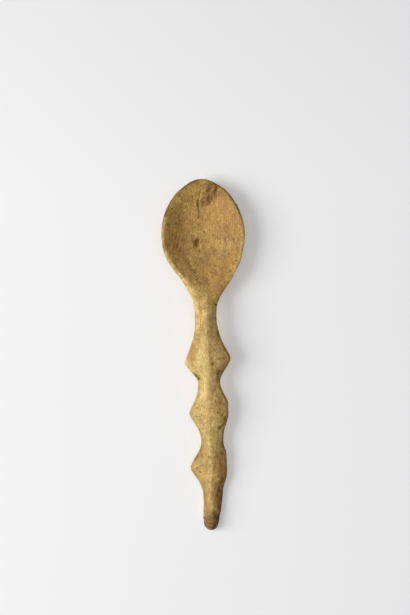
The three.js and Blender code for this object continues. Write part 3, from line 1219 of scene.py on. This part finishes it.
def layer_value(name):
    """A mask that is kept with the mesh."""
    return add_node(bone_tree, "Attribute", {}, attribute_name=name).outputs["Fac"]


def in_millimetres(size):
    """Object coordinates, with the given size in mm as the unit."""
    inputs = {"Vector": bone_place, "Scale": [1 / (side * MM) for side in size]}
    return add_node(bone_tree, "Mapping", inputs).outputs["Vector"]


def noise(size, detail, roughness, output="Fac"):
    """Noise with waves of the given size in mm."""
    inputs = {"Vector": in_millimetres(size), "Scale": 1, "Detail": detail, "Roughness": roughness}
    return add_node(bone_tree, "TexNoise", inputs).outputs[output]


def vary(colour, value, dark_tint, light_tint, amount=1.0):
    """Multiplies by a dark tint where a noise is low, and by a light one where it is high."""
    tints = tint(dark_tint, between(value, *NOISE_SPAN), light_tint)
    return tint(colour, amount, tints, "MULTIPLY")


print("bone material starts with", len(bone_tree.nodes), "nodes")

# %% [markdown]
# ## Grain
#
# Bone shows fibres and streaks along its length, soft mottle, small specks and drawn-out canals. One noise
# can't hold them all, so each has its own size in millimetres, long along the handle. Specks and fibres
# are weaker on the handle, which is more rubbed than the bowl.

# %% Grain of the bone
HANDLE_SPECKS = 0.55
HANDLE_FIBRES = 0.75
DOT_MOTTLE = (0.35, 0.6)
CRACK_STREAKS = (0.5, 0.62)
CRACK_WIDTH = 0.035

fibres = noise((0.17, 3.0, 0.17), detail=3, roughness=0.6)
streaks = noise((0.5, 5.0, 0.5), detail=3, roughness=0.55)
mottle = noise((0.9, 1.6, 0.9), detail=3, roughness=0.6)
specks = noise((0.36, 0.5, 0.36), detail=2, roughness=0.55)
blotches = noise((2.6, 3.8, 2.6), detail=3, roughness=0.55)
clouds = noise((8, 11, 8), detail=2, roughness=0.5)
wander = noise((0.6, 0.6, 0.6), detail=2, roughness=0.5, output="Color")
speck_strength = between(layer_value("handle"), 0.0, 1.0, 1.0, HANDLE_SPECKS)
fibre_strength = between(layer_value("handle"), 0.0, 1.0, 1.0, HANDLE_FIBRES)


def scattered(size, feature, straying=0.0):
    """Distances of a scatter of cells of the given size in mm, which may stray from round."""
    inputs = {0: wander, 1: [straying] * 3, 2: in_millimetres(size)}
    place = add_node(bone_tree, "VectorMath", inputs, operation="MULTIPLY_ADD")
    inputs = {"Vector": place.outputs["Vector"], "Scale": 1}
    return add_node(bone_tree, "TexVoronoi", inputs, feature=feature).outputs["Distance"]


def spots(size, full_to, gone_at, straying=0.0):
    """Spots that are full near the middle of each cell and gone at a distance from it."""
    return between(scattered(size, "F1", straying), full_to, gone_at, 1.0, 0.0)


canal = spots((0.55, 2.6, 0.55), full_to=0.12, gone_at=0.26)
dot = spots((1.1, 1.3, 1.1), full_to=0.12, gone_at=0.36, straying=0.5)
dot = maths("MULTIPLY", dot, between(mottle, *DOT_MOTTLE))
freckle = spots((1.9, 2.3, 1.9), full_to=0.1, gone_at=0.36, straying=0.6)
freckle = maths("MULTIPLY", freckle, layer_value("freckled"))
crack = between(scattered((2.4, 26, 2.4), "DISTANCE_TO_EDGE"), 0.0, CRACK_WIDTH, 1.0, 0.0)
crack = maths("MULTIPLY", crack, between(streaks, *CRACK_STREAKS))
print("grain has", len(bone_tree.nodes), "nodes so far")

# %% [markdown]
# ## Colours
#
# The bone is tan and gold underneath. Rubbing covers that, so pale and golden are mixed in, and the pale
# carries some painted light. Stains, and the painted shade among them, darken what lies below them, so they
# multiply it, and so does the grain. A mask with a clean limit would look painted, so mottle ruffles the
# light masks and breaks up the stains.

# %% Fraying of the masks
MOTTLE_PATCHES = (0.2, 1.0)
BLOTCH_PATCHES = (0.0, 0.8)
RUFFLE_SPAN = (0.4, 1.6)
RUFFLE = (0.75, 1.25)
FRAY_SPAN = (0.05, 1.2)

mottle_patches = between(mottle, *NOISE_SPAN, *MOTTLE_PATCHES)
blotch_patches = between(blotches, *NOISE_SPAN, *BLOTCH_PATCHES)
patchy = maths("ADD", mottle_patches, blotch_patches)


def soft(name, amount):
    """A mask that the mottle only ruffles."""
    ruffled = maths("MULTIPLY", layer_value(name), between(patchy, *RUFFLE_SPAN, *RUFFLE))
    return maths("MULTIPLY", ruffled, amount)


def frayed(name, amount):
    """A mask that the mottle breaks up."""
    broken_up = maths("MULTIPLY", layer_value(name), patchy)
    return between(broken_up, *FRAY_SPAN, 0.0, amount)


print("frayed masks run from 0 at", FRAY_SPAN[0], "to full at", FRAY_SPAN[1])

# %% Colours of the bone
TAN = (0.37, 0.235, 0.083, 1)
GOLD = (0.5, 0.328, 0.093, 1)
PALE = (0.725, 0.56, 0.222, 1)
GOLD_BLOTCHES = (0.35, 0.65)
# The brown colour is a stain and, on the handle's right side, painted shade.
BROWN_STAIN_AND_SHADE = (0.54, 0.415, 0.35, 1)
RUST_STAIN = (0.82, 0.62, 0.4, 1)
# The dark colour stands for grime and, at the notches, right edges and tip, painted shade.
DARK_STAIN_AND_SHADE = (0.305, 0.218, 0.13, 1)
END_STAIN = (0.485, 0.43, 0.57, 1)
CANAL_STAIN = (0.5, 0.42, 0.28, 1)
FRECKLE_STAIN = (0.46, 0.34, 0.2, 1)
CLOUD_TINTS = ((0.93, 0.92, 0.91, 1), (1.05, 1.06, 1.05, 1))
BLOTCH_TINTS = ((0.93, 0.92, 0.9, 1), (1.05, 1.05, 1.04, 1))
MOTTLE_TINTS = ((0.88, 0.85, 0.77, 1), (1.09, 1.09, 1.15, 1))
STREAK_TINTS = ((0.88, 0.86, 0.78, 1), (1.08, 1.08, 1.13, 1))
SPECK_TINTS = ((0.73, 0.68, 0.5, 1), (1.2, 1.2, 1.4, 1))
FIBRE_TINTS = ((0.83, 0.79, 0.66, 1), (1.12, 1.12, 1.25, 1))
SMALL_STAINS = [
    (dot, 0.7, CANAL_STAIN),
    (freckle, 0.9, FRECKLE_STAIN),
    (canal, 0.6, CANAL_STAIN),
    (crack, 0.7, CANAL_STAIN),
    (layer_value("pore"), 0.6, CANAL_STAIN),
]

colour = tint(TAN, between(blotches, *GOLD_BLOTCHES), GOLD)
colour = tint(colour, soft("golden", amount=0.9), GOLD)
colour = tint(colour, soft("pale_and_lit", amount=1.0), PALE)
colour = vary(colour, clouds, *CLOUD_TINTS)
colour = vary(colour, blotches, *BLOTCH_TINTS)
colour = tint(colour, frayed("brown_and_shade", amount=0.9), BROWN_STAIN_AND_SHADE, "MULTIPLY")
colour = tint(colour, frayed("rust", amount=0.9), RUST_STAIN, "MULTIPLY")
colour = tint(colour, frayed("grey_end", amount=1.0), END_STAIN, "MULTIPLY")
colour = vary(colour, mottle, *MOTTLE_TINTS)
colour = vary(colour, streaks, *STREAK_TINTS)
colour = vary(colour, specks, *SPECK_TINTS, speck_strength)
colour = vary(colour, fibres, *FIBRE_TINTS, fibre_strength)
for mark, strength, stain in SMALL_STAINS:
    colour = tint(colour, maths("MULTIPLY", mark, strength), stain, "MULTIPLY")
colour = tint(colour, frayed("dark", amount=0.95), DARK_STAIN_AND_SHADE, "MULTIPLY")
print("bone colour has", len(bone_tree.nodes), "nodes")

# %% [markdown]
# ## Sheen and fine relief
#
# Old bone has a dull polish that comes and goes with its mottle. Fibres, canals and hairline cracks are
# finer than the mesh. They could be carved into far more faces, but they are under a tenth of a millimetre
# high and change no outline, so bump is enough.

# %% Sheen and fine relief
ROUGHNESS = (0.58, 0.4)
SHINE = 0.18
RELIEF_MM = 0.08
RELIEF_STRENGTH = 0.6
RELIEF_PARTS = [(fibres, 0.6), (specks, 0.5), (canal, -0.5), (dot, -0.5), (crack, -0.7)]

relief = 0.0
for part, part_height in RELIEF_PARTS:
    relief = maths("MULTIPLY_ADD", part, part_height, relief)
bump_inputs = {"Height": relief, "Strength": RELIEF_STRENGTH, "Distance": RELIEF_MM * MM}
set_inputs(bone_tree.nodes["Principled BSDF"], {
    "Base Color": colour,
    "Roughness": between(mottle, *NOISE_SPAN, *ROUGHNESS),
    "Specular IOR Level": SHINE,
    "Normal": add_node(bone_tree, "Bump", bump_inputs).outputs["Normal"],
})
spoon_mesh.materials.clear()
spoon_mesh.materials.append(bone)
print("aged bone has", len(bone_tree.nodes), "nodes")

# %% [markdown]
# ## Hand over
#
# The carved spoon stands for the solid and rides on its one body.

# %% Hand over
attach(spoon, "root")
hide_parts("bone_spoon")
